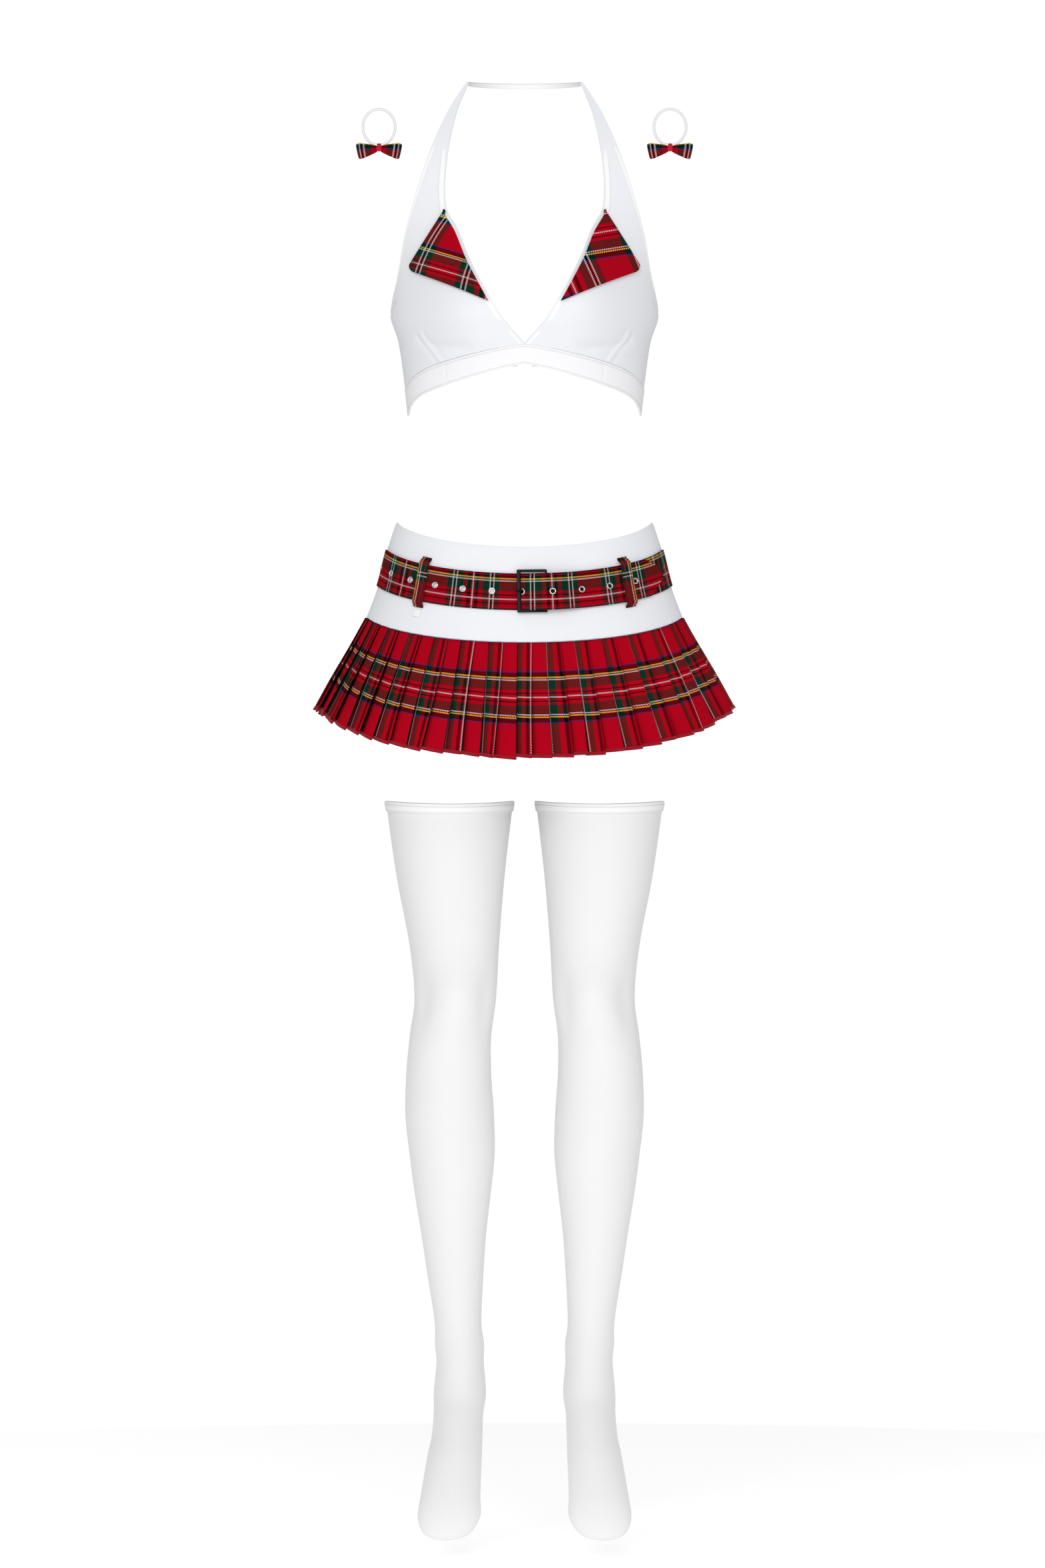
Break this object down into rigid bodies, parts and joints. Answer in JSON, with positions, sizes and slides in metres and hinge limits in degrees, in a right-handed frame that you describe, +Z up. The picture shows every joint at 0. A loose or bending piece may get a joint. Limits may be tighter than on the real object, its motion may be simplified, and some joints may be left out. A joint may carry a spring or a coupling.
{
  "type": "cheer uniform",
  "caption": "Cropped halter top, tartan pleated skirt with a laced-through belt, thigh-high stockings and bow hair ties, set out as worn.",
  "frame": {"origin": "middle of the wearer's waist, behind the belt buckle at belt height", "axes": "+Z up the wearer, -Y the wearer's front, +X to the right of someone looking at the front"},
  "size_m": [0.458, 0.308, 1.5842],
  "materials": {
    "white_knit": "smooth white stretch knit",
    "binding": "brighter white folded binding with topstitching",
    "tartan": "red, green and black tartan twill with white and yellow lines",
    "tartan_webbing": "tartan twill faced belt strap with stitched edges",
    "tartan_ribbon": "tartan twill ribbon",
    "red_cloth": "plain scarlet twill",
    "hosiery": "fine opaque white knit",
    "hosiery_welt": "doubled ribbed knit band",
    "elastic_cord": "covered white elastic",
    "label": "blank woven tape",
    "black_metal": "black enamelled buckle",
    "nickel": "bright nickel plate"
  },
  "bodies": {
    "skirt": {"hip_yoke": "white_knit", "waist_elastic": "elastic_cord", "pleated_skirt": "tartan", "front_left_belt_loop": "tartan", "front_right_belt_loop": "tartan", "back_left_belt_loop": "tartan", "back_right_belt_loop": "tartan", "label_tab": "label", "belt_strap": "tartan_webbing", "eyelet_01": "nickel", "eyelet_02": "nickel", "eyelet_03": "nickel", "eyelet_04": "nickel", "eyelet_05": "nickel", "eyelet_06": "nickel", "eyelet_07": "nickel", "eyelet_08": "nickel", "eyelet_09": "nickel", "eyelet_10": "nickel", "eyelet_11": "nickel"},
    "buckle": {"buckle_frame": "black_metal"},
    "prong": {"buckle_prong": "black_metal"},
    "top": {"left_cup": "white_knit", "right_cup": "white_knit", "left_neckline_binding": "binding", "right_neckline_binding": "binding", "left_armhole_binding": "binding", "right_armhole_binding": "binding", "left_back_wing": "white_knit", "right_back_wing": "white_knit", "underbust_band": "binding", "neck_strap": "binding", "back_hook": "nickel", "back_eye": "nickel"},
    "left_lapel_flap": {"left_lapel": "tartan"},
    "right_lapel_flap": {"right_lapel": "tartan"},
    "left_leg": {"left_stocking": "hosiery", "left_stocking_welt": "hosiery_welt"},
    "left_hair_tie": {"left_hair_elastic": "elastic_cord"},
    "left_bow": {"left_bow_knot": "red_cloth", "left_bow_outer_loop": "tartan_ribbon", "left_bow_inner_loop": "tartan_ribbon"},
    "right_leg": {"right_stocking": "hosiery", "right_stocking_welt": "hosiery_welt"},
    "right_hair_tie": {"right_hair_elastic": "elastic_cord"},
    "right_bow": {"right_bow_knot": "red_cloth", "right_bow_outer_loop": "tartan_ribbon", "right_bow_inner_loop": "tartan_ribbon"}
  },
  "joints": [
    {"name": "buckle_tilt", "type": "hinge", "parent": "skirt", "child": "buckle", "pos_m": [0.02324, -0.10315, 0.0031], "axis": [-0.0183, 0.1834, 0.9829], "range_deg": [0, 1.2]},
    {"name": "prong_lift", "type": "hinge", "parent": "skirt", "child": "prong", "pos_m": [0.02324, -0.10315, 0.0031], "axis": [-0.0183, 0.1834, 0.9829], "range_deg": [0, 1.2]},
    {"name": "top_lift_off", "type": "slide", "parent": "skirt", "child": "top", "axis": [0, 0, 1], "range_m": [0, 0.1]},
    {"name": "left_lapel_turn_up", "type": "hinge", "parent": "top", "child": "left_lapel_flap", "pos_m": [-0.04014, -0.11809, 0.31826], "axis": [-0.392, 0.3765, 0.8394], "range_deg": [0, 100]},
    {"name": "right_lapel_turn_up", "type": "hinge", "parent": "top", "child": "right_lapel_flap", "pos_m": [0.04014, -0.11809, 0.31826], "axis": [-0.392, -0.3765, -0.8394], "range_deg": [0, 100]},
    {"name": "left_stocking_slide", "type": "slide", "parent": "skirt", "child": "left_leg", "axis": [0, 0, -1], "range_m": [0, 0.12]},
    {"name": "left_hair_tie_slide", "type": "slide", "parent": "skirt", "child": "left_hair_tie", "axis": [0, -1, 0], "range_m": [0, 0.06]},
    {"name": "left_bow_swivel", "type": "hinge", "parent": "left_hair_tie", "child": "left_bow", "pos_m": [-0.158, 0, 0.4895], "axis": [1, 0, 0], "range_deg": [-30, 30]},
    {"name": "right_stocking_slide", "type": "slide", "parent": "skirt", "child": "right_leg", "axis": [0, 0, -1], "range_m": [0, 0.12]},
    {"name": "right_hair_tie_slide", "type": "slide", "parent": "skirt", "child": "right_hair_tie", "axis": [0, -1, 0], "range_m": [0, 0.06]},
    {"name": "right_bow_swivel", "type": "hinge", "parent": "right_hair_tie", "child": "right_bow", "pos_m": [0.158, 0, 0.4895], "axis": [1, 0, 0], "range_deg": [-30, 30]}
  ],
  "couplings": [
    {"joint": "prong_lift", "follows": "buckle_tilt", "ratio": 1}
  ]
}
